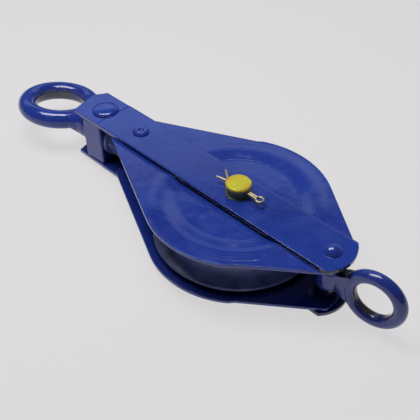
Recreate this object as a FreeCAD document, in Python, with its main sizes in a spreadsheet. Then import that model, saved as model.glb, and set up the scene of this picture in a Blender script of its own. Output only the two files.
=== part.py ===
import FreeCAD, Part
import math
import os

import Sketcher
from FreeCAD import Placement, Rotation, Vector

# A single sheave pulley block with a swivel eye at its head and a becket eye at its tail,
# lying on its side. Millimetres and degrees. The origin is the centre of the sheave,
# +Z runs up along the axle, -X points to the swivel eye and +X to the becket eye.

SIZES = [
    # Side straps
    ("strap_width", 40.0, "width of the flat bar"),
    ("strap_thick", 3.2, "thickness of the flat bar"),
    ("strap_edge", 0.7, "rounding of the bar's outer edges"),
    ("head_pitch", 166.7, "axle to crosshead"),
    ("spacer_pitch", 117.0, "axle to head spacer"),
    ("tail_pitch", 93.0, "axle to tail rivet"),
    ("head_gap", 42.6, "gap between the straps at the crosshead"),
    ("joggle", 0.4, "step that sets each strap out over the cheek"),
    ("joggle_run", 3.0, "length of that step"),
    ("joggle_lap", 2.0, "how far the step starts back over the crosshead"),
    ("nose_side", 21.5, "crosshead centre to the side corners of the strap's nose"),
    ("nose_tip", 28.8, "crosshead centre to the tip of the nose"),
    ("nose_skew", 8.0, "how far the tip lies to one side"),
    ("tail_radius", 29.0, "round of the strap's tail end"),
    ("tail_reach", 16.4, "tail rivet to the tail end"),
    # Pressed cheeks
    ("sheet", 2.5, "thickness of the cheek sheet"),
    ("cheek_radius", 76.5, "round part of the cheek's outline"),
    ("wing_inset", 1.2, "how far two of the straight sides lie inside that round"),
    ("notch_run", 5.0, "length of the slanted step to those sides"),
    ("head_angle", 25.7, "slope of the outline towards the head"),
    ("tail_angle", 37.6, "slope of the outline towards the tail"),
    ("head_tip", 19.0, "head spacer to the cheek's head end"),
    ("tail_tip", 12.0, "tail rivet to the cheek's tail end"),
    ("tip_corner", 4.0, "rounding of the corners at both ends"),
    ("disc_radius", 50.0, "flat middle of the pressing"),
    ("wall_width", 10.5, "slope from the middle up to the crest"),
    ("crest_width", 5.5, "flat on the crest, which bears on the strap"),
    ("fall_width", 5.5, "slope from the crest down to the wings"),
    ("disc_drop", 2.6, "middle of the pressing, below the crest"),
    ("wing_drop", 0.6, "wings, below the crest"),
    ("press_round", 3.0, "rounding of the pressed steps"),
    ("seat_radius", 10.0, "raised seat round each rivet"),
    ("seat_run", 4.5, "slope round that seat"),
    # Sheave and its axle
    ("sheave_radius", 70.0, "outer radius of the sheave"),
    ("rim_width", 30.0, "width of the sheave at its rim"),
    ("rope_radius", 9.5, "radius of the rope groove"),
    ("groove_depth", 13.0, "depth of the rope groove"),
    ("flank_angle", 62.0, "how far the groove's round reaches up each side"),
    ("lip_width", 3.0, "flat on top of each flange"),
    ("lip_round", 1.2, "rounding of the flange's lips"),
    ("rim_wall", 5.5, "metal under the groove"),
    ("web_thick", 9.0, "web between hub and rim"),
    ("web_fillet", 5.0, "fillets at both ends of the web"),
    ("hub_radius", 21.0, "hub of the sheave"),
    ("bush_wall", 3.5, "wall of the sheave's bush"),
    ("washer_thick", 1.2, "washers at both sides of the hub"),
    ("washer_wall", 7.5, "width of those washers"),
    ("axle_dia", 21.0, "axle"),
    ("axle_above", 10.4, "axle end above the upper strap"),
    ("cap_thick", 3.2, "full diameter end of the axle"),
    ("groove_dia", 18.6, "turned groove for the split pin"),
    ("axle_chamfer", 0.9, "chamfer of the axle's end"),
    ("head_dia", 30.0, "axle's head under the lower strap"),
    ("head_thick", 5.0, "thickness of that head"),
    # Split pin of the axle
    ("split_wire", 1.9, "wire of the split pin"),
    ("split_gap", 0.1, "gap between its legs in the hole"),
    ("split_lift", 5.6, "split pin above the upper strap"),
    ("split_eye", 3.0, "eye of the split pin, at its wire's centre"),
    ("split_eye_reach", 22.3, "axle centre to the middle of that eye"),
    ("split_root", 2.0, "straight stretch beyond the axle on both sides"),
    ("split_long", 9.0, "length of the bent ends"),
    ("split_wide_bend", 7.2, "how far the first end is bent away"),
    ("split_small_bend", 1.6, "how far the second end is bent away"),
    # Crosshead
    ("block_length", 23.0, "crosshead block along the straps"),
    ("block_width", 39.0, "crosshead block across the straps"),
    ("block_chamfer", 1.0, "chamfer of the block"),
    ("trunnion_dia", 16.0, "round ends of the crosshead in the straps"),
    ("dome_dia", 25.0, "peened heads of the trunnions"),
    ("dome_rim", 0.4, "edge height of the peened heads"),
    ("dome_rise", 1.6, "rise of the peened heads above that edge"),
    ("crosshead_turn", 3.2, "how far the crosshead is tilted at rest"),
    # Swivel eye with its nut
    ("eye_reach", 71.2, "crosshead centre to the middle of the eye"),
    ("eye_radius", 31.8, "eye, at its bar's centre"),
    ("eye_bar", 17.8, "bar of the eye"),
    ("eye_land", 0.25, "trim of the bar inside the eye"),
    ("eye_turn", -9.4, "how far the eye is swivelled at rest"),
    ("neck_dia", 31.0, "neck between eye and collar"),
    ("neck_straight", 6.95, "round stretch of that neck beside the collar"),
    ("neck_root_width", 46.0, "width of the neck inside the eye's bar"),
    ("neck_root_thick", 16.4, "thickness of the neck inside the eye's bar"),
    ("neck_sink", 12.6, "how far that root lies inside the bar"),
    ("collar_dia", 32.4, "collar that bears on the crosshead"),
    ("collar_thick", 8.0, "thickness of the collar"),
    ("collar_chamfer", 1.5, "chamfer of the collar"),
    ("shank_dia", 18.0, "shank through the crosshead"),
    ("thread_end", 3.5, "shank beyond its nut"),
    ("nut_flats", 27.0, "across the flats of the nut"),
    ("nut_height", 15.0, "height of the nut"),
    ("nut_chamfer", 1.2, "chamfer of the nut's corners"),
    ("plate_dia", 34.0, "washer under the nut"),
    ("plate_thick", 3.0, "thickness of that washer"),
    ("lock_dia", 4.0, "pin through nut and shank"),
    # Head spacer and its rivet
    ("spacer_dia", 17.0, "spacer tube between the cheeks"),
    ("rivet_dia", 9.0, "shank of both rivets"),
    ("rivet_head", 15.0, "heads of the spacer rivet"),
    ("rivet_head_rise", 2.6, "height of the spacer rivet's heads"),
    ("dimple_dia", 6.0, "dimple in the spacer rivet's heads"),
    ("dimple_deep", 1.4, "depth of that dimple"),
    # Tail rivet, its sleeve and the becket eye
    ("button_dia", 14.5, "button heads of the tail rivet"),
    ("button_rise", 5.0, "height of the button heads"),
    ("sleeve_dia", 12.6, "sleeve that the becket turns on"),
    ("tail_tube_dia", 16.4, "spacers above and below the becket's boss"),
    ("boss_dia", 19.0, "boss of the becket"),
    ("becket_reach", 38.8, "tail rivet to the middle of the becket's eye"),
    ("becket_radius", 20.4, "becket's eye, at its bar's centre"),
    ("becket_bar", 10.6, "bar of the becket's eye"),
    ("becket_land", 0.25, "trim of the bar inside the becket's eye"),
    ("becket_swing", 5.2, "how far the becket is swung at rest"),
    ("boss_tall", 17.6, "height of the becket's boss"),
    ("boss_round", 2.2, "rounding of the boss's edges"),
    ("becket_neck_tall", 16.4, "height of the becket's neck at the boss"),
    ("becket_neck_wide", 25.0, "height of the neck inside the eye's bar"),
    ("becket_neck_thick", 10.2, "thickness of the neck"),
    # Fits
    ("running", 0.05, "radial clearance of a turning fit"),
    ("snug", 0.05, "radial clearance of a fixed fit"),
    ("slip", 0.15, "clearance at the sides of turning pieces"),
    ("side_play", 0.4, "play of the sheave between its washers"),
]

doc = FreeCAD.newDocument("pulley_block")
sheet = doc.addObject("Spreadsheet::Sheet", "sizes")
for line, (alias, number, meaning) in enumerate(SIZES, start=1):
    sheet.set(f"A{line}", meaning)
    sheet.set(f"B{line}", str(number))
    sheet.setAlias(f"B{line}", alias)
doc.recompute()


class Size:
    """A number that remembers the spreadsheet formula it comes from."""

    def __init__(self, value, formula=None):
        self.value = float(value)
        self.constant = formula is None
        self.formula = formula or f"({self.value!r})"

    def __add__(self, other):
        other = as_size(other)
        return Size(self.value + other.value, f"({self.formula} + {other.formula})")

    def __sub__(self, other):
        other = as_size(other)
        return Size(self.value - other.value, f"({self.formula} - {other.formula})")

    def __mul__(self, other):
        other = as_size(other)
        return Size(self.value * other.value, f"({self.formula} * {other.formula})")

    def __truediv__(self, other):
        other = as_size(other)
        return Size(self.value / other.value, f"({self.formula} / {other.formula})")

    def __neg__(self):
        return Size(-self.value, f"(0 - {self.formula})")


def as_size(number):
    return number if isinstance(number, Size) else Size(number)


def named(alias):
    return Size(getattr(sheet, alias), f"sizes.{alias}")


def sine(angle):
    return Size(math.sin(math.radians(angle.value)), f"sin({angle.formula})")


def cosine(angle):
    return Size(math.cos(math.radians(angle.value)), f"cos({angle.formula})")


def root(size):
    return Size(math.sqrt(size.value), f"sqrt({size.formula})")


ZERO = Size(0)

# Levels and radii that several pieces share
strap_width = named("strap_width")
strap_thick = named("strap_thick")
sheet_thick = named("sheet")
slip = named("slip")
running = named("running")
snug = named("snug")
head_inside = named("head_gap") / 2
body_inside = head_inside + named("joggle")
head_outside = head_inside + strap_thick
body_outside = body_inside + strap_thick
seat_inside = body_inside - sheet_thick
disc_inside = body_inside - named("disc_drop") - sheet_thick
head_x = -named("head_pitch")
spacer_x = -named("spacer_pitch")
tail_x = named("tail_pitch")
axle_radius = named("axle_dia") / 2
trunnion_radius = named("trunnion_dia") / 2
rivet_radius = named("rivet_dia") / 2
shank_radius = named("shank_dia") / 2
block_half = named("block_length") / 2


class Outline:
    """A sketch on one of a body's own base planes, with its corners pinned by sizes."""

    def __init__(self, body, role, name, lift=None):
        self.sketch = body.newObject("Sketcher::SketchObject", name)
        base = next(item for item in body.Origin.OriginFeatures if item.Role == role)
        self.sketch.AttachmentSupport = [(base, "")]
        self.sketch.MapMode = "FlatFace"
        if lift is not None:
            self.sketch.AttachmentOffset = Placement(Vector(0, 0, lift.value), Rotation())
            self.sketch.setExpression("AttachmentOffset.Base.z", lift.formula)

    def bind(self, index, size):
        self.sketch.setExpression(f"Constraints[{index}]", size.formula)

    def pin(self, piece, end, across, up):
        for kind, size, axis in (("DistanceX", across, -2), ("DistanceY", up, -1)):
            if size.constant:
                self.join("PointOnObject", piece, end, axis)
            else:
                self.bind(self.join(kind, -1, 1, piece, end, size.value), size)

    def join(self, kind, *which):
        return self.sketch.addConstraint(Sketcher.Constraint(kind, *which))

    def line(self, start, end):
        """A straight line between two points that are given as pairs of sizes."""
        ends = [Vector(across.value, up.value, 0) for across, up in (start, end)]
        return self.sketch.addGeometry(Part.LineSegment(*ends), False)

    def arc(self, centre, radius, start, end):
        """An arc that runs anticlockwise from start to end."""
        middle = Vector(centre[0].value, centre[1].value, 0)
        angles = [math.atan2(up.value - middle.y, across.value - middle.x)
                  for across, up in (start, end)]
        if angles[1] <= angles[0]:
            angles[1] += 2 * math.pi
        circle = Part.Circle(middle, Vector(0, 0, 1), radius.value)
        piece = self.sketch.addGeometry(Part.ArcOfCircle(circle, *angles), False)
        self.bind(self.join("Radius", piece, radius.value), radius)
        return piece

    def loop(self, points, arcs=()):
        """A closed outline through the points. An arc (index, centre, radius, clockwise)
        takes the place of the straight side that follows that point."""
        rounds = {index: rest for index, *rest in arcs}
        pieces = []
        for index, start in enumerate(points):
            end = points[(index + 1) % len(points)]
            if index not in rounds:
                pieces.append((self.line(start, end), 1, 2))
                continue
            centre, radius, clockwise = rounds[index]
            if clockwise:
                pieces.append((self.arc(centre, radius, end, start), 2, 1))
            else:
                pieces.append((self.arc(centre, radius, start, end), 1, 2))
        for index, (piece, begin, _) in enumerate(pieces):
            previous, _, finish = pieces[index - 1]
            self.join("Coincident", previous, finish, piece, begin)
            self.pin(piece, begin, *points[index])
        return pieces

    def circle(self, across, up, radius):
        middle = Vector(across.value, up.value, 0)
        shape = Part.Circle(middle, Vector(0, 0, 1), radius.value)
        piece = self.sketch.addGeometry(shape, False)
        self.pin(piece, 3, across, up)
        self.bind(self.join("Radius", piece, radius.value), radius)

    def ellipse(self, half_across, half_up):
        """An ellipse round the sketch's origin, wider across than up."""
        shape = Part.Ellipse(Vector(half_across.value, 0, 0), Vector(0, half_up.value, 0),
                             Vector(0, 0, 0))
        piece = self.sketch.addGeometry(shape, False)
        self.sketch.exposeInternalGeometry(piece)
        self.join("Coincident", piece, 3, -1, 1)
        major, minor = piece + 1, piece + 2
        self.join("PointOnObject", major, 1, -1)
        for axis, size in ((major, half_across), (minor, half_up)):
            self.bind(self.join("Distance", axis, 1, axis, 2, size.value * 2), size * 2)

    def axis_line(self, across):
        """A construction line parallel to the sketch's vertical axis, to turn a shape about."""
        reach = strap_width
        piece = self.sketch.addGeometry(
            Part.LineSegment(Vector(across.value, 0, 0), Vector(across.value, reach.value, 0)),
            True)
        self.pin(piece, 1, across, ZERO)
        self.pin(piece, 2, across, reach)


def new_body(label):
    body = doc.addObject("PartDesign::Body", label)
    body.Label = label
    return body


def place(body, across=ZERO, yaw=ZERO, roll=ZERO):
    """Moves a body along X, having rolled it about X and then turned it about Z."""
    body.setExpression(
        "Placement",
        f"create(<<placement>>; create(<<vector>>; {across.formula}; 0; 0); "
        f"create(<<rotation>>; {yaw.formula}; 0; {roll.formula}))")


def pad(body, outline, length, symmetric=False, reverse=False):
    feature = body.newObject("PartDesign::Pad", "Pad")
    feature.Profile = outline.sketch
    feature.SideType = "Symmetric" if symmetric else "One side"
    feature.Reversed = reverse
    feature.Length = length.value
    feature.setExpression("Length", length.formula)
    return feature


def cut_through(body, outline):
    feature = body.newObject("PartDesign::Pocket", "Pocket")
    feature.Profile = outline.sketch
    feature.SideType = "Symmetric"
    feature.Type = "ThroughAll"
    return feature


def turned(body, outline, axis="V_Axis", kind="Revolution"):
    """Adds, or with Groove takes away, the outline turned about one of its axes."""
    feature = body.newObject(f"PartDesign::{kind}", kind)
    feature.Profile = outline.sketch
    feature.ReferenceAxis = (outline.sketch, [axis])
    feature.Angle = 360
    return feature


def loft(body, first, *others):
    feature = body.newObject("PartDesign::AdditiveLoft", "Loft")
    feature.Profile = first.sketch
    feature.Sections = [other.sketch for other in others]
    return feature


def soften(body, kind, size, wanted):
    """Fillets or chamfers the edges of the body's last feature that the test picks."""
    doc.recompute()
    last = body.Tip
    names = [f"Edge{number}" for number, edge in enumerate(last.Shape.Edges, start=1)
             if wanted(edge)]
    feature = body.newObject(f"PartDesign::{kind}", kind)
    feature.Base = (last, names)
    quantity = "Radius" if kind == "Fillet" else "Size"
    setattr(feature, quantity, size.value)
    feature.setExpression(quantity, size.formula)
    return feature


def is_circle(edge, radius=None, level=None):
    """Says whether the edge is a whole circle, of that radius and at that height."""
    if not isinstance(edge.Curve, Part.Circle) or len(edge.Vertexes) != 1:
        return False
    if radius is not None and abs(edge.Curve.Radius - radius.value) > 0.01:
        return False
    return level is None or abs(edge.Curve.Center.z - level.value) < 0.01


def cut_outside(body, draw, reach):
    """Cuts away all that lies outside an outline in plan, which draw puts in the sketch."""
    outline = Outline(body, "XY_Plane", "Plan")
    outline.loop([(-reach, -reach), (reach, -reach), (reach, reach), (-reach, reach)])
    draw(outline)
    return cut_through(body, outline)


def strap(label, side):
    """One flat bar. The upper strap has side 1, and the lower one, its mirror image, -1."""
    body = new_body(label)
    nose = head_x - named("nose_tip")
    tail_end = tail_x + named("tail_reach")
    step_start = head_x + block_half - named("joggle_lap")
    step_end = step_start + named("joggle_run")
    inner = [(nose, head_inside), (step_start, head_inside),
             (step_end, body_inside), (tail_end, body_inside)]
    outer = [(across, up + strap_thick) for across, up in reversed(inner)]
    profile = Outline(body, "XZ_Plane", "Side")
    profile.loop([(across, up * side) for across, up in inner + outer])
    pad(body, profile, strap_width, symmetric=True)

    def plan(outline):
        half = strap_width / 2
        round_x = tail_end - named("tail_radius")
        corner = round_x + root(named("tail_radius") * named("tail_radius") - half * half)
        shoulder = head_x - named("nose_side")
        outline.loop(
            [(shoulder, -half), (corner, -half), (corner, half), (shoulder, half),
             (nose, named("nose_skew"))],
            arcs=[(1, (round_x, ZERO), named("tail_radius"), False)])

    cut_outside(body, plan, named("head_pitch") * 1.5)
    holes = Outline(body, "XY_Plane", "Holes")
    holes.circle(head_x, ZERO, trunnion_radius + running)
    holes.circle(spacer_x, ZERO, rivet_radius + snug)
    holes.circle(ZERO, ZERO, axle_radius + snug)
    holes.circle(tail_x, ZERO, rivet_radius + snug)
    cut_through(body, holes)
    return body


def press_profile():
    """Radius and depth below the crest of each corner of the pressing, from the middle out."""
    crest = named("disc_radius") + named("wall_width")
    crest_end = crest + named("crest_width")
    return [
        (named("disc_radius"), named("disc_drop")),
        (crest, ZERO),
        (crest_end, ZERO),
        (crest_end + named("fall_width"), named("wing_drop")),
    ]


def cheek(label, side):
    """One pressed side plate, whose crest bears on the inside of its strap."""
    body = new_body(label)
    bore = axle_radius + snug
    reach = named("spacer_pitch") + named("head_tip") * 2
    corners = press_profile()
    top = [(bore, named("disc_drop"))] + corners + [(reach, named("wing_drop"))]
    bottom = [(across, drop + sheet_thick) for across, drop in reversed(top)]
    profile = Outline(body, "XZ_Plane", "Pressing")
    profile.loop([(across, (body_inside - drop) * side) for across, drop in top + bottom])
    turned(body, profile)
    inner, outer = corners[0][0].value, corners[-1][0].value
    soften(body, "Fillet", named("press_round"),
           lambda edge: is_circle(edge) and inner - 0.01 < edge.Curve.Radius < outer + 0.01)

    seat_end = named("seat_radius") + named("seat_run")
    crest = body_inside
    wing = body_inside - named("wing_drop")
    for centre in (spacer_x, tail_x):
        seat = Outline(body, "XZ_Plane", "Seat")
        seat.axis_line(centre)
        seat.loop([(centre + across, up * side) for across, up in (
            (ZERO, wing - sheet_thick / 2), (seat_end, wing - sheet_thick / 2),
            (seat_end, wing), (named("seat_radius"), crest), (ZERO, crest))])
        turned(body, seat, axis="Axis0")
        hollow = Outline(body, "XZ_Plane", "Hollow")
        hollow.axis_line(centre)
        hollow.loop([(centre + across, up * side) for across, up in (
            (ZERO, wing - sheet_thick), (seat_end, wing - sheet_thick),
            (named("seat_radius"), crest - sheet_thick), (ZERO, crest - sheet_thick))])
        turned(body, hollow, axis="Axis0", kind="Groove")

    cut_outside(body, cheek_plan, reach * 1.2)
    holes = Outline(body, "XY_Plane", "Holes")
    holes.circle(spacer_x, ZERO, rivet_radius + snug)
    holes.circle(tail_x, ZERO, rivet_radius + snug)
    cut_through(body, holes)
    ends = ((spacer_x - named("head_tip")).value, (tail_x + named("tail_tip")).value)
    soften(body, "Fillet", named("tip_corner"),
           lambda edge: is_upright(edge) and near_any(edge.Vertexes[0].X, ends))
    return body


def is_upright(edge):
    return (isinstance(edge.Curve, Part.Line) and abs(edge.Curve.Direction.z) > 0.999)


def near_any(number, others):
    return any(abs(number - other) < 0.01 for other in others)


def cheek_plan(outline):
    """Round middle with straight sides that run in to both ends. Two sides touch the round,
    and the other two, at opposite corners, lie a step inside it."""
    radius, inset = named("cheek_radius"), named("wing_inset")
    low = radius - inset
    head, tail = named("head_angle"), named("tail_angle")
    head_end = spacer_x - named("head_tip")
    tail_end = tail_x + named("tail_tip")
    run = named("notch_run")

    def half(distance, angle, end, way):
        return (distance - end * sine(angle) * way) / cosine(angle)

    def foot(distance, angle, way, past=ZERO):
        return ((distance * sine(angle) + past * cosine(angle)) * way,
                distance * cosine(angle) - past * sine(angle))

    def below(point):
        return (point[0], -point[1])

    centre = (ZERO, ZERO)
    outline.loop(
        [(head_end, -half(radius, head, head_end, -1)), below(foot(radius, head, -1)),
         below(foot(radius, tail, 1)), below(foot(low, tail, 1, run)),
         (tail_end, -half(low, tail, tail_end, 1)), (tail_end, half(radius, tail, tail_end, 1)),
         foot(radius, tail, 1), foot(radius, head, -1), foot(low, head, -1, run),
         (head_end, half(low, head, head_end, -1))],
        arcs=[(1, centre, radius, False), (6, centre, radius, False)])


def sheave():
    """Cast wheel with a round rope groove, a web and a hub, turned in one go."""
    body = new_body("sheave")
    outer, half_rim = named("sheave_radius"), named("rim_width") / 2
    groove = named("rope_radius")
    bottom = outer - named("groove_depth")
    middle = bottom + groove
    flank = named("flank_angle")
    flank_across = middle - groove * cosine(flank)
    flank_up = groove * sine(flank)
    lip = half_rim - named("lip_width")
    rim_inside = bottom - named("rim_wall")
    half_web = named("web_thick") / 2
    hub, bore = named("hub_radius"), axle_radius + running + named("bush_wall")
    upper = [
        (bore, hub_half), (hub, hub_half), (hub, half_web), (rim_inside, half_web),
        (rim_inside, half_rim), (outer, half_rim), (outer, lip), (flank_across, flank_up)]
    lower = [(across, -up) for across, up in reversed(upper)]
    profile = Outline(body, "XZ_Plane", "Section")
    profile.loop(upper + lower, arcs=[(7, (middle, ZERO), groove, False)])
    turned(body, profile)
    soften(body, "Fillet", named("web_fillet"),
           lambda edge: any(is_circle(edge, radius, up * turn)
                            for radius, up in ((hub, half_web), (rim_inside, half_web))
                            for turn in (1, -1)))
    soften(body, "Fillet", named("lip_round"),
           lambda edge: any(is_circle(edge, outer, up * turn)
                            for up in (half_rim, lip) for turn in (1, -1)))
    return body


def ring(label, outer, inner, length, base, across=ZERO):
    """A plain tube or washer round the Z axis, from the height base upwards."""
    body = new_body(label)
    outline = Outline(body, "XY_Plane", "Ring", lift=base)
    outline.circle(ZERO, ZERO, outer)
    outline.circle(ZERO, ZERO, inner)
    pad(body, outline, length)
    place(body, across)
    return body


def axle():
    """Headed pin with a full diameter end above a turned groove for the split pin."""
    body = new_body("axle_pin")
    top = body_outside + named("axle_above")
    cap = top - named("cap_thick")
    neck = body_outside + slip
    neck_radius = named("groove_dia") / 2
    head_radius, head_top = named("head_dia") / 2, -body_outside
    foot = head_top - named("head_thick")
    chamfer = named("axle_chamfer")
    profile = Outline(body, "XZ_Plane", "Section")
    profile.loop([
        (ZERO, foot), (head_radius - chamfer, foot), (head_radius, foot + chamfer),
        (head_radius, head_top), (axle_radius, head_top), (axle_radius, neck),
        (neck_radius, neck), (neck_radius, cap), (axle_radius, cap),
        (axle_radius, top - chamfer), (axle_radius - chamfer, top), (ZERO, top)])
    turned(body, profile)
    hole = Outline(body, "YZ_Plane", "Hole")
    hole.circle(ZERO, split_level, split_hole)
    cut_through(body, hole)
    return body


def split_pin():
    """Doubled wire: an eye beyond the axle, two legs through it, and their bent ends."""
    body = new_body("axle_split_pin")
    wire = named("split_wire") / 2
    leg = wire + named("split_gap") / 2
    eye, eye_x = named("split_eye"), named("split_eye_reach")
    root_x = axle_radius + named("split_root")
    meet_x = eye_x - root(eye * eye - leg * leg)
    end_x = -(root_x + named("split_long"))
    route = Outline(body, "XY_Plane", "Route", lift=split_level)
    points = [(end_x, leg + named("split_wide_bend")), (-root_x, leg), (meet_x, leg),
              (meet_x, -leg), (-root_x, -leg), (end_x, -(leg + named("split_small_bend")))]
    first = [route.line(points[0], points[1]), route.line(points[1], points[2])]
    loop_arc = route.arc((eye_x, ZERO), eye, points[3], points[2])
    second = [route.line(points[3], points[4]), route.line(points[4], points[5])]
    route.join("Coincident", first[0], 2, first[1], 1)
    route.join("Coincident", first[1], 2, loop_arc, 2)
    route.join("Coincident", loop_arc, 1, second[0], 1)
    route.join("Coincident", second[0], 2, second[1], 1)
    for piece, end, point in ((first[0], 1, points[0]), (first[1], 1, points[1]),
                              (loop_arc, 2, points[2]), (second[0], 1, points[3]),
                              (second[1], 1, points[4]), (second[1], 2, points[5])):
        route.pin(piece, end, *point)
    section = Outline(body, "YZ_Plane", "Wire")
    section.circle(leg, split_level, wire)
    feature = body.newObject("PartDesign::AdditivePipe", "Pipe")
    feature.Profile = section.sketch
    feature.Spine = route.sketch
    feature.Transition = "Round corner"
    return body


def crosshead():
    """Block with a bore for the eye's shank and a peened trunnion through each strap, whose
    head stands clear of the strap's step."""
    body = new_body("crosshead")
    half_height = head_inside - slip
    block = Outline(body, "XY_Plane", "Block")
    half_width = named("block_width") / 2
    block.loop([(-block_half, -half_width), (block_half, -half_width),
                (block_half, half_width), (-block_half, half_width)])
    pad(body, block, half_height * 2, symmetric=True)
    soften(body, "Chamfer", named("block_chamfer"), lambda edge: True)
    dome, rise = named("dome_dia") / 2, named("dome_rise")
    neck = block_half - named("joggle_lap") - slip
    seat = head_outside + slip
    brim = body_outside + slip
    edge_top = brim + named("dome_rim")
    sphere = (dome * dome + rise * rise) / (rise * 2)
    top = edge_top + rise
    for side in (1, -1):
        trunnion = Outline(body, "XZ_Plane", "Trunnion")
        trunnion.loop(
            [(across, up * side) for across, up in (
                (ZERO, ZERO), (trunnion_radius, ZERO), (trunnion_radius, seat), (neck, seat),
                (neck, brim), (dome, brim), (dome, edge_top), (ZERO, top))],
            arcs=[(6, (ZERO, (top - sphere) * side), sphere, side < 0)])
        turned(body, trunnion)
    bore = Outline(body, "YZ_Plane", "Bore")
    bore.circle(ZERO, ZERO, shank_radius + running)
    cut_through(body, bore)
    place(body, head_x, yaw=named("crosshead_turn"))
    return body


def swivel_eye():
    """Forged eye whose neck grows out of the ring into a collar and a threaded shank."""
    body = new_body("swivel_eye")
    bar = named("eye_bar") / 2
    eye, centre = named("eye_radius"), -named("eye_reach")
    section = Outline(body, "XZ_Plane", "Bar")
    section.axis_line(centre)
    section.circle(centre + eye, ZERO, bar)
    turned(body, section, axis="Axis0")
    collar_in = -(block_half + slip)
    collar_out = collar_in - named("collar_thick")
    collar, ease = named("collar_dia") / 2, named("collar_chamfer")
    root_at = centre + eye + bar - named("neck_sink")
    neck_at = collar_out - ease - named("neck_straight")
    root_shape = Outline(body, "YZ_Plane", "NeckRoot", lift=root_at)
    root_shape.ellipse(named("neck_root_width") / 2, named("neck_root_thick") / 2)
    neck_shape = Outline(body, "YZ_Plane", "NeckEnd", lift=neck_at)
    neck_shape.circle(ZERO, ZERO, named("neck_dia") / 2)
    loft(body, root_shape, neck_shape)
    end = nut_end + named("thread_end")
    neck = named("neck_dia") / 2
    profile = Outline(body, "XZ_Plane", "Shank")
    profile.loop([
        (neck_at, ZERO), (neck_at, neck), (collar_out - ease, neck), (collar_out, collar - ease),
        (collar_out + ease, collar), (collar_in - ease, collar), (collar_in, collar - ease),
        (collar_in, shank_radius), (end - ease, shank_radius), (end, shank_radius - ease),
        (end, ZERO)])
    turned(body, profile, axis="H_Axis")
    land = Outline(body, "XY_Plane", "Land")
    land.circle(centre, ZERO, eye - bar + named("eye_land"))
    cut_through(body, land)
    cross_hole = Outline(body, "XY_Plane", "CrossHole")
    cross_hole.circle(lock_at, ZERO, named("lock_dia") / 2)
    cut_through(body, cross_hole)
    place(body, head_x, yaw=named("crosshead_turn"), roll=named("eye_turn"))
    return body


def eye_washer():
    body = new_body("eye_washer")
    outline = Outline(body, "YZ_Plane", "Ring", lift=plate_start)
    outline.circle(ZERO, ZERO, named("plate_dia") / 2)
    outline.circle(ZERO, ZERO, shank_radius + snug)
    pad(body, outline, named("plate_thick"))
    place(body, head_x, yaw=named("crosshead_turn"), roll=named("eye_turn"))
    return body


def eye_nut():
    """Hexagon nut with its corners turned down at both faces, and a hole for its lock pin."""
    body = new_body("eye_nut")
    half_flat = named("nut_flats") / 2
    corner = half_flat / cosine(Size(30))
    outline = Outline(body, "YZ_Plane", "Hexagon", lift=nut_start)
    outline.loop([
        (corner, ZERO), (corner / 2, half_flat), (-(corner / 2), half_flat),
        (-corner, ZERO), (-(corner / 2), -half_flat), (corner / 2, -half_flat)])
    outline.circle(ZERO, ZERO, shank_radius)
    pad(body, outline, named("nut_height"))
    chamfer, rim = named("nut_chamfer"), corner + named("nut_chamfer")
    for face, inward in ((nut_start, 1), (nut_end, -1)):
        bevel = Outline(body, "XZ_Plane", "Bevel")
        bevel.loop([(face, corner - chamfer), (face, rim),
                    (face + chamfer * inward * 2, rim)])
        turned(body, bevel, axis="H_Axis", kind="Groove")
    cross_hole = Outline(body, "XY_Plane", "CrossHole")
    cross_hole.circle(lock_at, ZERO, named("lock_dia") / 2)
    cut_through(body, cross_hole)
    place(body, head_x, yaw=named("crosshead_turn"), roll=named("eye_turn"))
    return body


def nut_lock_pin():
    body = new_body("nut_lock_pin")
    outline = Outline(body, "XY_Plane", "Round")
    outline.circle(lock_at, ZERO, named("lock_dia") / 2)
    pad(body, outline, named("nut_flats"), symmetric=True)
    place(body, head_x, yaw=named("crosshead_turn"), roll=named("eye_turn"))
    return body


def spacer_rivet():
    """Rivet through the head spacer, with a dimple peened into each of its low heads."""
    body = new_body("spacer_rivet")
    head, rise = named("rivet_head") / 2, named("rivet_head_rise")
    dimple, deep = named("dimple_dia") / 2, named("dimple_deep")
    crown = (head + dimple) / 2
    seat = body_outside
    for side in (1, -1):
        half = Outline(body, "XZ_Plane", "Half")
        half.loop([(across, up * side) for across, up in (
            (ZERO, ZERO), (rivet_radius, ZERO), (rivet_radius, seat), (head, seat),
            (head, seat + rise / 3), (crown, seat + rise), (dimple, seat + rise),
            (dimple / 2, seat + rise - deep), (ZERO, seat + rise - deep))])
        turned(body, half)
    place(body, spacer_x)
    return body


def tail_rivet():
    """Rivet with button heads, which clamps the straps on the becket's sleeve."""
    body = new_body("tail_rivet")
    head, rise = named("button_dia") / 2, named("button_rise")
    sphere = (head * head + rise * rise) / (rise * 2)
    seat = body_outside
    for side in (1, -1):
        half = Outline(body, "XZ_Plane", "Half")
        half.loop(
            [(across, up * side) for across, up in (
                (ZERO, ZERO), (rivet_radius, ZERO), (rivet_radius, seat), (head, seat),
                (ZERO, seat + rise))],
            arcs=[(3, (ZERO, (seat + rise - sphere) * side), sphere, side < 0)])
        turned(body, half)
    place(body, tail_x)
    return body


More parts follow.
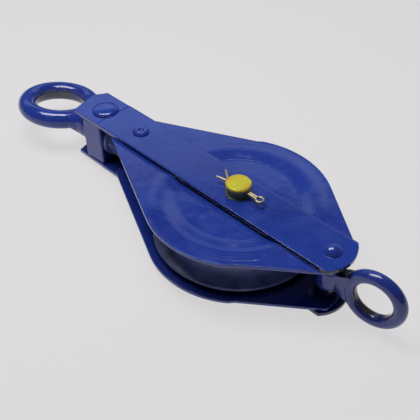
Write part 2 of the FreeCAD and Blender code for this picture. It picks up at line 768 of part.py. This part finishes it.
def becket_eye():
    """Forged eye that stands upright between the straps, with a boss round the tail sleeve."""
    body = new_body("becket_eye")
    outer, half, soft = named("boss_dia") / 2, named("boss_tall") / 2, named("boss_round")
    boss = Outline(body, "XZ_Plane", "Boss")
    boss.loop([(ZERO, -half), (outer - soft, -half), (outer, -(half - soft)),
               (outer, half - soft), (outer - soft, half), (ZERO, half)],
              arcs=[(1, (outer - soft, -(half - soft)), soft, False),
                    (3, (outer - soft, half - soft), soft, False)])
    turned(body, boss)
    bar, reach = named("becket_bar") / 2, named("becket_reach")
    eye = named("becket_radius")
    near = reach - eye
    neck = Outline(body, "XZ_Plane", "Neck")
    tall, wide = named("becket_neck_tall") / 2, named("becket_neck_wide") / 2
    neck.loop([(ZERO, -tall), (outer, -tall), (near, -wide), (near, wide), (outer, tall), (ZERO, tall)])
    pad(body, neck, named("becket_neck_thick"), symmetric=True)
    section = Outline(body, "XY_Plane", "Bar")
    section.axis_line(reach)
    section.circle(near, ZERO, bar)
    turned(body, section, axis="Axis0")
    land = Outline(body, "XZ_Plane", "Land")
    land.circle(reach, ZERO, eye - bar + named("becket_land"))
    cut_through(body, land)
    bore = Outline(body, "XY_Plane", "Bore")
    bore.circle(ZERO, ZERO, named("sleeve_dia") / 2 + running)
    cut_through(body, bore)
    place(body, tail_x, yaw=named("becket_swing"))
    return body


# Places that two or more pieces share
hub_half = disc_inside - named("washer_thick") - named("side_play") / 2
split_level = body_outside + named("split_lift")
split_hole = named("split_wire") + named("split_gap") / 2 + snug
plate_start = block_half + slip
nut_start = plate_start + named("plate_thick")
nut_end = nut_start + named("nut_height")
lock_at = nut_start + named("nut_height") / 2

washer_outer = axle_radius + named("washer_wall")
washer_base = disc_inside - named("washer_thick")
bush_outer = axle_radius + running + named("bush_wall")
sleeve_radius = named("sleeve_dia") / 2
tube_length = seat_inside - named("boss_tall") / 2 - slip * 2

parts = [
    strap("strap_upper", 1),
    strap("strap_lower", -1),
    cheek("cheek_upper", 1),
    cheek("cheek_lower", -1),
    sheave(),
    ring("sheave_bush", bush_outer, axle_radius + running, hub_half * 2, -hub_half),
    ring("thrust_washer_upper", washer_outer, axle_radius + snug, named("washer_thick"),
         washer_base),
    ring("thrust_washer_lower", washer_outer, axle_radius + snug, named("washer_thick"),
         -disc_inside),
    axle(),
    split_pin(),
    crosshead(),
    swivel_eye(),
    eye_washer(),
    eye_nut(),
    nut_lock_pin(),
    ring("head_spacer", named("spacer_dia") / 2, rivet_radius + snug, seat_inside * 2,
         -seat_inside, across=spacer_x),
    spacer_rivet(),
    ring("tail_sleeve", sleeve_radius, rivet_radius + snug, seat_inside * 2, -seat_inside,
         across=tail_x),
    ring("tail_spacer_upper", named("tail_tube_dia") / 2, sleeve_radius + snug, tube_length,
         named("boss_tall") / 2 + slip, across=tail_x),
    ring("tail_spacer_lower", named("tail_tube_dia") / 2, sleeve_radius + snug, tube_length,
         -(named("boss_tall") / 2 + slip + tube_length), across=tail_x),
    tail_rivet(),
    becket_eye(),
]

doc.recompute()
for item in doc.Objects:
    if "Invalid" in item.State or "Error" in item.State:
        raise SystemExit(f"{item.Name} of {item.Label} failed: {item.State}")
for part in parts:
    if part.Shape.isNull() or not part.Shape.isValid() or len(part.Shape.Solids) != 1:
        raise SystemExit(f"{part.Label} is not one valid solid")

os.makedirs("parts", exist_ok=True)
for part in parts:
    part.Shape.exportStep(os.path.join("parts", f"{part.Label}.step"))
    print(part.Label, round(part.Shape.Volume))
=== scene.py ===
import math

import bpy
from mathutils import Matrix, Vector


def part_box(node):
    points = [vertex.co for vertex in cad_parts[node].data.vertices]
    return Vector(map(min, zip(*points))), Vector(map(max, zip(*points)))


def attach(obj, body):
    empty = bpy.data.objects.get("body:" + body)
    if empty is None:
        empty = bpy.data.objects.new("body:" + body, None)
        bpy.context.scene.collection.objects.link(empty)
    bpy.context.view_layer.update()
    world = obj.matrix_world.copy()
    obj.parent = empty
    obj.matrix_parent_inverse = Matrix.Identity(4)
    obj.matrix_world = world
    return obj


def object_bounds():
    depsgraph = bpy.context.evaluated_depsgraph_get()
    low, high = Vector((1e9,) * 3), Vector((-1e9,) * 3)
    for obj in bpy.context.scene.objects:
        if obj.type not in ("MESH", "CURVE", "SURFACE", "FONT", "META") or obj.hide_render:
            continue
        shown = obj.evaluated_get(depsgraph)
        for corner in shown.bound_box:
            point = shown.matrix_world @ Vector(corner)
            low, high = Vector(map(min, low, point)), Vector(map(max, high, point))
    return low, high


# A single sheave pulley block lying on its side on a pale floor. Lengths are in metres.

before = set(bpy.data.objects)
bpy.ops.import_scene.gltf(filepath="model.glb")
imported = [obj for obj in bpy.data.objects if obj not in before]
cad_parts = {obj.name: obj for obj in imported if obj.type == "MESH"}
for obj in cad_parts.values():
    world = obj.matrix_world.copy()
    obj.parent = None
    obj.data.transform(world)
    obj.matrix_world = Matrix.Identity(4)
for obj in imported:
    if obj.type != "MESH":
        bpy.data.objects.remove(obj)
cad_low, cad_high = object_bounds()

scene = bpy.context.scene
scene.view_settings.view_transform = "Standard"

# Places and sizes on the block

# The sides of the straps get an almost black painted shade from this X on, where the cheeks lie
# close below them, and a pale painted reflection before it.
STRAP_SHADE_FROM = -0.122
STRAP_SHADE_BLEND = 0.008
# The straps' rolled long edges begin this far from the middle line.
ROLL_FROM = 0.0176
ROLL_WIDTH = 0.0024
ROLL_FALL = 0.00016
# Creases of the pressed cheeks round the sheave's axis: radius, half width, height, and how far
# from the middle line they fade in, or 0 for all the way round.
CHEEK_CREASES = (
    (0.0500, 0.0024, 0.00026, 0),
    (0.0605, 0.0024, -0.00026, 0),
    (0.0660, 0.0022, -0.00010, 0),
    (0.0712, 0.0022, 0.00010, 0),
    (0.0770, 0.0050, 0.00030, 0.058),
)
CREASE_BLEND = 0.010
# Inside both eyes the paint is rubbed, most of all up to the first distance from the middle,
# and it is whole past the second.
EYE_MIDDLE = (-0.2378, -0.0040, 0.0)
EYE_RUBBED = (0.0236, 0.0262)
BECKET_MIDDLE = (0.1316, 0.0035, 0.0)
BECKET_RUBBED = (0.0156, 0.0172)
# The axle gets a dark greenish painted shade below the second height, and none above the first.
AXLE_UNSHADED_ABOVE = 0.0347
AXLE_SHADED_BELOW = 0.0312
# Radii in the sheave's groove, where the rope's rubbing begins, is full, ebbs and ends.
GROOVE_RUB = (0.054, 0.0575, 0.0585, 0.0675)
# The sine of the radius times this makes the sheave's turned rings, 0.87 mm apart.
TURNED_RINGS = 7200.0

TRUNNION_X = -0.1667
HEAD_RADIUS = 0.0122
HEAD_RISE = 0.0034
HEAD_RINGS = 20
HEAD_SPOKES = 96
# A higher power makes the domed head flatter and its shoulder tighter.
HEAD_POWER = 2.6
# Hammer dents: their depth as a share of the height, how many go round, and how far they twist.
DENT_DEPTH = 0.035
DENT_COUNT = 5
DENT_TWIST = 9
# The CAD model's plain rims, in which the heads' feet lie, stand out this far.
RIM_HEIGHT = 0.0019

# Colours, in sRGB from 0 to 255

# Each paint has a deep, a plain and a scuffed colour; the scuffed one also serves as a painted
# highlight on edges.
PAINT = ((30, 50, 139), (38, 63, 158), (92, 112, 190))
FORGED_PAINT = ((29, 48, 136), (40, 64, 158), (92, 112, 190))
BECKET_PAINT = ((26, 42, 122), (42, 60, 144), (92, 108, 178))
# The nut's paint is lighter, a painted reflection of the pale floor, as it sits in shade between
# the straps.
NUT_PAINT_WITH_PAINTED_REFLECTION = ((72, 84, 142), (98, 110, 168), (140, 152, 200))
# Painted light on the straps' upright sides: a pale painted reflection, and an almost black painted
# shade.
SIDE_PAINTED_REFLECTION = (104, 114, 176)
SIDE_PAINTED_SHADE = (7, 9, 20)
RUBBED_PAINT = (92, 88, 66)
DUST = (150, 160, 200)
# Painted shade in recesses and between parts, where little light reaches.
RECESS_PAINTED_SHADE = (8, 10, 22)

SHEAVE_DARK = (66, 72, 112)
SHEAVE_LIGHT = (120, 128, 178)
SHEAVE_EDGE = (74, 80, 104)
# Painted shade in the sheave's recesses.
SHEAVE_RECESS_PAINTED_SHADE = (8, 9, 14)

# Each metal drifts between three tints.
ZINC = ((240, 224, 62), (202, 214, 74), (246, 186, 62))
PIN_STEEL = ((200, 184, 134), (186, 174, 142), (206, 166, 116))
BRONZE = ((176, 128, 62), (158, 110, 54), (190, 142, 80))
DULL_STEEL = ((142, 144, 150), (120, 122, 130), (110, 104, 98))
# Bright edges of metal: partly wear, partly a painted highlight.
METAL_EDGE_WEAR_AND_HIGHLIGHT = (240, 236, 200)
# A dark greenish painted shade.
METAL_PAINTED_SHADE = (92, 104, 92)

FLOOR_COLOUR = (96, 95, 96)
FLOOR_GLOW = (221, 219, 220)


def linear(red, green, blue):
    """The linear colour of an sRGB colour given from 0 to 255."""
    def one(value):
        value /= 255
        return value / 12.92 if value <= 0.04045 else ((value + 0.055) / 1.055) ** 2.4
    return one(red), one(green), one(blue), 1.0


# Node trees

class Nodes:
    """A node tree. Most methods add nodes and return an output of theirs."""

    def __init__(self, tree):
        self.tree = tree

    def add(self, kind, **settings):
        """A new node with the given settings."""
        node = self.tree.nodes.new(kind)
        for name, value in settings.items():
            setattr(node, name, value)
        return node

    def feed(self, socket, value):
        """Links the socket where the value is an output, or else sets it."""
        if isinstance(value, bpy.types.NodeSocket):
            self.tree.links.new(value, socket)
        else:
            socket.default_value = value

    def plug(self, node, **inputs):
        """Feeds a node's inputs by name, with underscores for the spaces."""
        for name, value in inputs.items():
            self.feed(node.inputs[name.replace("_", " ")], value)

    def ramp(self, value, low, high, start=0.0, end=1.0):
        """A soft step from start to end while the value goes from low to high."""
        node = self.add("ShaderNodeMapRange", interpolation_type="SMOOTHSTEP")
        self.plug(node, Value=value, From_Min=low, From_Max=high, To_Min=start, To_Max=end)
        return node.outputs["Result"]

    def math(self, kind, first, second=0.0):
        """A number from one or two others."""
        node = self.add("ShaderNodeMath", operation=kind)
        self.feed(node.inputs[0], first)
        self.feed(node.inputs[1], second)
        return node.outputs[0]

    def times(self, first, second):
        """The product of both."""
        return self.math("MULTIPLY", first, second)

    def less(self, first, second):
        """The first with the second taken off."""
        return self.math("SUBTRACT", first, second)

    def vector(self, kind, first, second):
        """A number for the kinds DOT_PRODUCT and DISTANCE, and a vector for the others."""
        node = self.add("ShaderNodeVectorMath", operation=kind)
        self.feed(node.inputs[0], first)
        self.feed(node.inputs[1], second)
        return node.outputs["Value" if kind in ("DOT_PRODUCT", "DISTANCE") else "Vector"]

    def parts(self, vector):
        """Outputs X, Y and Z of a vector."""
        node = self.add("ShaderNodeSeparateXYZ")
        self.feed(node.inputs[0], vector)
        return node.outputs


class Look(Nodes):
    """A material. Its place is the shaded point, in the coordinates that the CAD has at rest."""

    def __init__(self, name):
        self.material = bpy.data.materials.new(name)
        self.material.use_nodes = True
        super().__init__(self.material.node_tree)
        self.shader = self.tree.nodes["Principled BSDF"]
        self.place = self.add("ShaderNodeTexCoord").outputs["Object"]

    def set(self, **inputs):
        """Feeds the shader's inputs."""
        self.plug(self.shader, **inputs)

    def noise(self, scale, detail, rough, at=None):
        """Noise with about so many spots to the metre, at the place or elsewhere."""
        node = self.add("ShaderNodeTexNoise")
        self.plug(node, Vector=at or self.place, Scale=scale, Detail=detail, Roughness=rough)
        return node.outputs["Fac"]

    def patches(self, scale, detail, rough, low, high, start=0.0, end=1.0):
        """Noise that is taken from start to end where it rises from low to high."""
        return self.ramp(self.noise(scale, detail, rough), low, high, start, end)

    def stretched(self, *factors):
        """The place, stretched by a factor on each axis."""
        return self.vector("MULTIPLY", self.place, factors)

    def radius(self):
        """The distance from the sheave's axis."""
        parts = self.parts(self.place)
        squares = [self.times(parts[name], parts[name]) for name in "XY"]
        return self.math("SQRT", self.math("ADD", *squares))

    def off_middle(self):
        """The distance to either side of the middle line."""
        return self.math("ABSOLUTE", self.parts(self.place)["Y"])

    def mix(self, part, first, second):
        """The first colour where part is 0, the second where it is 1."""
        node = self.add("ShaderNodeMix", data_type="RGBA")
        colours = [socket for socket in node.inputs if socket.type == "RGBA"]
        self.feed(node.inputs[0], part)
        self.feed(colours[0], first)
        self.feed(colours[1], second)
        return [socket for socket in node.outputs if socket.type == "RGBA"][0]

    def cover(self, colour, tint, part, most=1.0):
        """The colour with a tint over it, as far as part says and up to most."""
        return self.mix(self.times(part, most), colour, linear(*tint))

    def edges(self, radius):
        """(rounded normal, how near an edge is, from 0 to 1)."""
        bevel = self.add("ShaderNodeBevel", samples=6)
        self.plug(bevel, Radius=radius)
        soft = bevel.outputs["Normal"]
        plain = self.add("ShaderNodeNewGeometry").outputs["Normal"]
        return soft, self.ramp(self.vector("DOT_PRODUCT", soft, plain), low=0.995, high=0.86)

    def recess(self, depth, open_at, closed_at):
        """1 in deep recesses that little light reaches, 0 on open surfaces. It masks painted shade.
        """
        node = self.add("ShaderNodeAmbientOcclusion", samples=8)
        self.plug(node, Distance=depth)
        return self.ramp(node.outputs["AO"], closed_at, open_at, start=1.0, end=0.0)

    def bump(self, normal, height, distance, strength=1.0):
        """The normal, bent as if the height stood up by the distance."""
        node = self.add("ShaderNodeBump")
        self.plug(node, Normal=normal, Height=height, Distance=distance, Strength=strength)
        return node.outputs["Normal"]


# Materials

def painted_side_light_and_shade(look, colour, shade_from):
    """Upright sides of the straps: a pale painted reflection of the bright floor, and an almost
    black painted shade from shade_from on.
    """
    facing = look.add("ShaderNodeNewGeometry").outputs["Normal"]
    level = look.math("ABSOLUTE", look.parts(facing)["Z"])
    side = look.ramp(level, low=0.3, high=0.7, start=1.0, end=0.0)
    along = look.parts(look.place)["X"]
    shaded = look.ramp(along, shade_from - STRAP_SHADE_BLEND, shade_from + STRAP_SHADE_BLEND)
    tint = look.mix(shaded, linear(*SIDE_PAINTED_REFLECTION), linear(*SIDE_PAINTED_SHADE))
    share = look.ramp(shaded, low=0.0, high=1.0, start=0.6, end=0.92)
    return look.mix(look.times(side, share), colour, tint)


def rubbed_inside(look, colour, middle, distances):
    """Paint that is rubbed off near the middle of an eye."""
    away = look.vector("DISTANCE", look.place, middle)
    near = look.ramp(away, distances[1], distances[0])
    torn = look.patches(scale=190, detail=4, rough=0.65, low=0.40, high=0.58, start=0.15, end=0.9)
    return look.cover(colour, RUBBED_PAINT, look.times(near, torn))


def pressed_creases(look, normal, creases):
    """Soft ridges and, where the height is negative, furrows round the sheave's axis."""
    around = look.radius()
    for radius, half_width, rise, start in creases:
        away = look.math("ABSOLUTE", look.less(around, radius))
        near = look.math("MAXIMUM", look.less(1.0, look.math("DIVIDE", away, half_width)), 0.0)
        height = look.times(near, near)
        if start:
            fade = look.ramp(look.off_middle(), start, start + CREASE_BLEND)
            height = look.times(height, fade)
        if rise < 0:
            height = look.less(1.0, height)
        normal = look.bump(normal, height, abs(rise))
    return normal


def rolled_edges(look, normal):
    """The long edges of a strap, which fall away outwards."""
    past = look.math("DIVIDE", look.less(look.off_middle(), ROLL_FROM), ROLL_WIDTH)
    past = look.math("MAXIMUM", past, 0.0)
    return look.bump(normal, look.less(1.0, look.times(past, past)), ROLL_FALL)


def enamel(name, paint, gloss, wave, soft=0.0009, peel=0.10, recess_shade=(0.06, 0.55, 0.14),
           shade_from=None, rolled=False, creases=(), rubbed=None):
    """Sprayed gloss enamel on steel, with thin and thick places, dust, scuffed edges that are
    partly a painted highlight, and painted shade in recesses.

    Gloss is the roughness, wave and peel are the strengths of broad and fine unevenness, soft is
    the radius of the edges, and recess_shade is what recess() takes for the painted shade in
    recesses.
    Rubbed is (middle, distances) of an eye. Upright sides get a pale painted reflection, and from
    the
    X of shade_from on an almost black painted shade.
    """
    look = Look(name)
    deep, plain, scuffed = paint
    tone = look.patches(scale=16, detail=3, rough=0.55, low=0.3, high=0.7)
    colour = look.mix(tone, linear(*deep), linear(*plain))
    grain = look.patches(scale=230, detail=4, rough=0.65, low=0.35, high=0.75)
    colour = look.cover(colour, scuffed, grain, most=0.07)
    thick = look.patches(scale=74, detail=3, rough=0.6, low=0.52, high=0.72)
    colour = look.cover(colour, deep, thick, most=0.30)
    if shade_from is not None:
        # Painted reflection and painted shade on the upright sides.
        colour = painted_side_light_and_shade(look, colour, shade_from)
    normal, edge = look.edges(soft)
    # Lighter scuffed paint on the edges: partly wear, partly a painted highlight along them.
    edge_wear_and_highlight = look.patches(scale=330, detail=3, rough=0.6, low=0.42, high=0.62, start=0.25)
    colour = look.cover(colour, scuffed, look.times(edge, edge_wear_and_highlight), most=0.45)
    if rubbed:
        colour = rubbed_inside(look, colour, *rubbed)
    dust = look.patches(scale=1500, detail=1, rough=0.5, low=0.735, high=0.78)
    colour = look.cover(colour, DUST, dust, most=0.25)
    # Painted shade in recesses and between parts.
    colour = look.cover(colour, RECESS_PAINTED_SHADE, look.recess(*recess_shade))
    sheen = look.patches(scale=60, detail=4, rough=0.6, low=0.3, high=0.75,
                         start=gloss - 0.04, end=gloss + 0.08)
    if creases:
        normal = pressed_creases(look, normal, creases)
    if rolled:
        normal = rolled_edges(look, normal)
    broad = look.noise(scale=55, detail=2, rough=0.5)
    normal = look.bump(normal, broad, distance=0.0015, strength=wave)
    fine = look.noise(scale=620, detail=2, rough=0.5)
    normal = look.bump(normal, fine, distance=0.0002, strength=peel)
    look.set(Base_Color=colour, Roughness=look.math("ADD", sheen, look.times(dust, 0.3)),
             Normal=normal, Coat_Weight=0.35, Coat_Roughness=0.08, Specular_IOR_Level=0.5)
    return look.material


def satin(name):
    """The sheave's dark paint, with turned rings, a groove that a rope has rubbed, and painted
    shade in recesses.
    """
    look = Look(name)
    around = look.radius()
    begins, full, ebbs, ends = GROOVE_RUB
    rubbed = look.times(look.ramp(around, ends, ebbs), look.ramp(around, begins, full))
    cloud = look.patches(scale=70, detail=4, rough=0.6, low=0.3, high=0.75)
    part = look.math("ADD", look.times(cloud, 0.5), look.times(rubbed, 0.3))
    colour = look.mix(part, linear(*SHEAVE_DARK), linear(*SHEAVE_LIGHT))
    normal, edge = look.edges(radius=0.0006)
    colour = look.cover(colour, SHEAVE_EDGE, edge, most=0.4)
    # Painted shade in the sheave's recesses.
    colour = look.cover(colour, SHEAVE_RECESS_PAINTED_SHADE, look.recess(depth=0.05, open_at=0.22, closed_at=0.02))
    rings = look.math("SINE", look.times(around, TURNED_RINGS))
    normal = look.bump(normal, rings, distance=0.00003, strength=0.25)
    grain = look.noise(scale=420, detail=3, rough=0.6)
    normal = look.bump(normal, grain, distance=0.0002, strength=0.15)
    sheen = look.patches(scale=120, detail=3, rough=0.6, low=0.3, high=0.7, start=0.28, end=0.46)
    look.set(Base_Color=colour, Roughness=sheen, Normal=normal, Coat_Weight=0.15,
             Coat_Roughness=0.25)
    return look.material


def metal(name, tints, shine=0.85, rough=0.3, scale=90.0, shaded_low=False):
    """Plated or bare metal in drifting tints, with fine machining and scratches, bright edges that
    are partly a painted highlight, and, when shaded_low, painted shade low down.
    """
    look = Look(name)
    first, second, third = (linear(*tint) for tint in tints)
    drift = look.patches(scale, detail=2, rough=0.5, low=0.38, high=0.62)
    colour = look.mix(drift, first, second)
    other = look.noise(scale * 1.4, detail=2, rough=0.5, at=look.stretched(1.3, -0.8, 1.1))
    colour = look.mix(look.ramp(other, low=0.52, high=0.70), colour, third)
    normal, edge = look.edges(radius=0.0004)
    # Bright edges: partly worn metal, partly a painted highlight.
    colour = look.cover(colour, METAL_EDGE_WEAR_AND_HIGHLIGHT, edge, most=0.6)
    if shaded_low:
        # Painted shade: darker and greener below a height on the axle.
        height = look.parts(look.place)["Z"]
        low_shade = look.ramp(height, AXLE_SHADED_BELOW, AXLE_UNSHADED_ABOVE, start=0.90, end=0.0)
        colour = look.cover(colour, METAL_PAINTED_SHADE, low_shade)
    scratch = look.noise(scale=1400, detail=2, rough=0.7, at=look.stretched(1.0, 0.15, 1.0))
    normal = look.bump(normal, scratch, distance=0.00006, strength=0.35)
    sheen = look.patches(scale=500, detail=3, rough=0.6, low=0.3, high=0.75,
                         start=rough - 0.06, end=rough + 0.12)
    look.set(Base_Color=colour, Metallic=shine, Normal=normal, Roughness=sheen)
    return look.material


def dress(material, *names):
    """Gives the CAD's nodes a material in all their slots."""
    for name in names:
        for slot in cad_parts[name].material_slots:
            slot.material = material


dress(enamel("blue_enamel", PAINT, gloss=0.14, wave=0.16, soft=0.0012,
             shade_from=STRAP_SHADE_FROM, rolled=True),
      "strap_upper", "strap_lower", "head_spacer", "tail_sleeve",
      "tail_spacer_upper", "tail_spacer_lower")
dress(enamel("blue_enamel_pressed", PAINT, gloss=0.14, wave=0.42, soft=0.0013,
             creases=CHEEK_CREASES),
      "cheek_upper", "cheek_lower")
# The nut and washer get lighter paint as a painted reflection.
dress(enamel("blue_enamel_nut_painted_reflection", NUT_PAINT_WITH_PAINTED_REFLECTION, gloss=0.16, wave=0.12, recess_shade=(0.03, 0.30, 0.02)),
      "eye_nut", "eye_washer")
forged = enamel("blue_enamel_forged", FORGED_PAINT, gloss=0.13, wave=0.30, soft=0.0010, peel=0.05)
dress(forged, "crosshead", "spacer_rivet", "tail_rivet")
dress(enamel("blue_enamel_eye", FORGED_PAINT, gloss=0.13, wave=0.34, peel=0.06,
             rubbed=(EYE_MIDDLE, EYE_RUBBED)),
      "swivel_eye")
dress(enamel("blue_enamel_becket", BECKET_PAINT, gloss=0.14, wave=0.34, peel=0.06,
             rubbed=(BECKET_MIDDLE, BECKET_RUBBED)),
      "becket_eye")
dress(satin("sheave_satin"), "sheave")
# The axle gets painted shade on its low part.
dress(metal("yellow_zinc", ZINC, shine=0.5, scale=40.0, shaded_low=True), "axle_pin")
dress(metal("pin_steel", PIN_STEEL, shine=0.7, rough=0.40), "axle_split_pin", "nut_lock_pin")
dress(metal("bearing_bronze", BRONZE, rough=0.34), "sheave_bush")
dress(metal("dull_steel", DULL_STEEL, rough=0.4), "thrust_washer_upper", "thrust_washer_lower")


# Pieces made here

def piece(name, corners, faces, material):
    """A new object of the scene with one material."""
    mesh = bpy.data.meshes.new(name)
    mesh.from_pydata(corners, [], faces)
    mesh.materials.append(material)
    item = bpy.data.objects.new(name, mesh)
    scene.collection.objects.link(item)
    return item


def peened_head(name, foot, side):
    """A flat dome with a round shoulder over a trunnion, above it or, for side -1, below it."""
    corners = [(0.0, 0.0, HEAD_RISE)]
    for ring in range(1, HEAD_RINGS + 1):
        part = math.sin(math.pi / 2 * ring / HEAD_RINGS)
        out = HEAD_RADIUS * part
        up = HEAD_RISE * (1 - part ** HEAD_POWER) ** (1 / HEAD_POWER)
        for spoke in range(HEAD_SPOKES):
            turn = 2 * math.pi * spoke / HEAD_SPOKES
            ripple = 1 + math.sin(DENT_COUNT * turn + DENT_TWIST * part)
            dent = 1 - DENT_DEPTH * part * (1 - part) * ripple
            corners.append((out * math.cos(turn), out * math.sin(turn), up * dent))
    under = len(corners)
    corners.append((0.0, 0.0, 0.0))
    last = under - HEAD_SPOKES
    faces = []
    for spoke in range(HEAD_SPOKES):
        after = (spoke + 1) % HEAD_SPOKES
        faces.append((0, 1 + spoke, 1 + after))
        faces.append((under, last + after, last + spoke))
        for start in range(1, last, HEAD_SPOKES):
            beyond = start + HEAD_SPOKES
            faces.append((start + spoke, beyond + spoke, beyond + after, start + after))
    # Half a turn about X puts the lower head in its place.
    corners = [(TRUNNION_X + x, y * side, (foot + up) * side) for x, y, up in corners]
    item = piece(name, corners, faces, forged)
    for face in item.data.polygons:
        face.use_smooth = under not in face.vertices
    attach(item, "crosshead")


rim_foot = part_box("crosshead")[1].z - RIM_HEIGHT
peened_head("trunnion_head_upper", rim_foot, 1)
peened_head("trunnion_head_lower", rim_foot, -1)

# The floor

FLOOR_HALF = 4.0
FLOOR_GAP = 0.0002
FLOOR_Z = cad_low.z - FLOOR_GAP
SQUARE = ((-FLOOR_HALF, -FLOOR_HALF), (FLOOR_HALF, -FLOOR_HALF),
          (FLOOR_HALF, FLOOR_HALF), (-FLOOR_HALF, FLOOR_HALF))
pale = Look("pale_floor")
pale.set(Base_Color=linear(*FLOOR_COLOUR), Roughness=0.9, Specular_IOR_Level=0.1,
         Emission_Color=linear(*FLOOR_GLOW), Emission_Strength=0.870)
floor = piece("floor", [(x, y, FLOOR_Z) for x, y in SQUARE], [(0, 1, 2, 3)], pale.material)

# A dim room with a pale wall opposite the camera, which flat faces mirror

WALL_DIRECTION = (-0.70, 0.71, 0.0)
ROOM_COLOUR = (0.59, 0.71, 1.0, 1.0)
world = bpy.data.worlds.new("studio")
world.use_nodes = True
room = Nodes(world.node_tree)
direction = room.add("ShaderNodeTexCoord").outputs["Generated"]
height = room.parts(direction)["Z"]
towards_wall = room.vector("DOT_PRODUCT", direction, WALL_DIRECTION)
dim = room.ramp(height, low=0.10, high=0.75, start=0.12, end=0.06)
foot_of_wall = room.ramp(height, low=0.37, high=0.47)
top_of_wall = room.ramp(height, low=0.62, high=0.68, start=0.80, end=0.0)
sides_of_wall = room.ramp(towards_wall, low=0.50, high=0.70)
wall = room.times(room.times(foot_of_wall, top_of_wall), sides_of_wall)
room.plug(room.tree.nodes["Background"], Color=ROOM_COLOUR, Strength=room.math("ADD", dim, wall))
scene.world = world


# The lamp and the camera

def aimed(name, data, place, right, back):
    """A lamp or camera that looks away from back, with its width along right."""
    item = bpy.data.objects.new(name, data)
    item.location = place
    item.rotation_euler = Matrix((right, back.cross(right), back)).transposed().to_euler()
    scene.collection.objects.link(item)
    return item


LAMP_PLACE = Vector((-0.25, -0.05, 0.84))
LAMP_TARGET = Vector((-0.16, -0.02, 0.0))
LAMP_ALONG = Vector((0.715, 0.699, 0.0))
lamp = bpy.data.lights.new("key", "AREA")
lamp.shape = "RECTANGLE"
lamp.size = 0.66
lamp.size_y = 0.34
lamp.energy = 6.4
lamp_back = (LAMP_PLACE - LAMP_TARGET).normalized()
lamp_right = lamp_back.cross(LAMP_ALONG).normalized().cross(lamp_back)
aimed("key", lamp, LAMP_PLACE, lamp_right, lamp_back)

# Fitted to the photograph, whose width and focal length are in pixels.
PICTURE_WIDTH = 420
FOCAL_LENGTH = 663.7
SENSOR_MM = 36.0
TARGET = Vector((-0.02062, -0.01108, -0.0003))
DISTANCE = 0.55089
AZIMUTH = math.radians(44.32)
ELEVATION = math.radians(42.45)
camera = bpy.data.cameras.new("camera")
camera.sensor_width = SENSOR_MM
camera.lens = FOCAL_LENGTH / PICTURE_WIDTH * SENSOR_MM
camera.clip_start = 0.01
camera.clip_end = 50.0
right = Vector((math.cos(AZIMUTH), math.sin(AZIMUTH), 0.0))
back = Vector((math.sin(AZIMUTH) * math.cos(ELEVATION),
               -math.cos(AZIMUTH) * math.cos(ELEVATION), math.sin(ELEVATION)))
scene.camera = aimed("camera", camera, TARGET + back * DISTANCE, right, back)
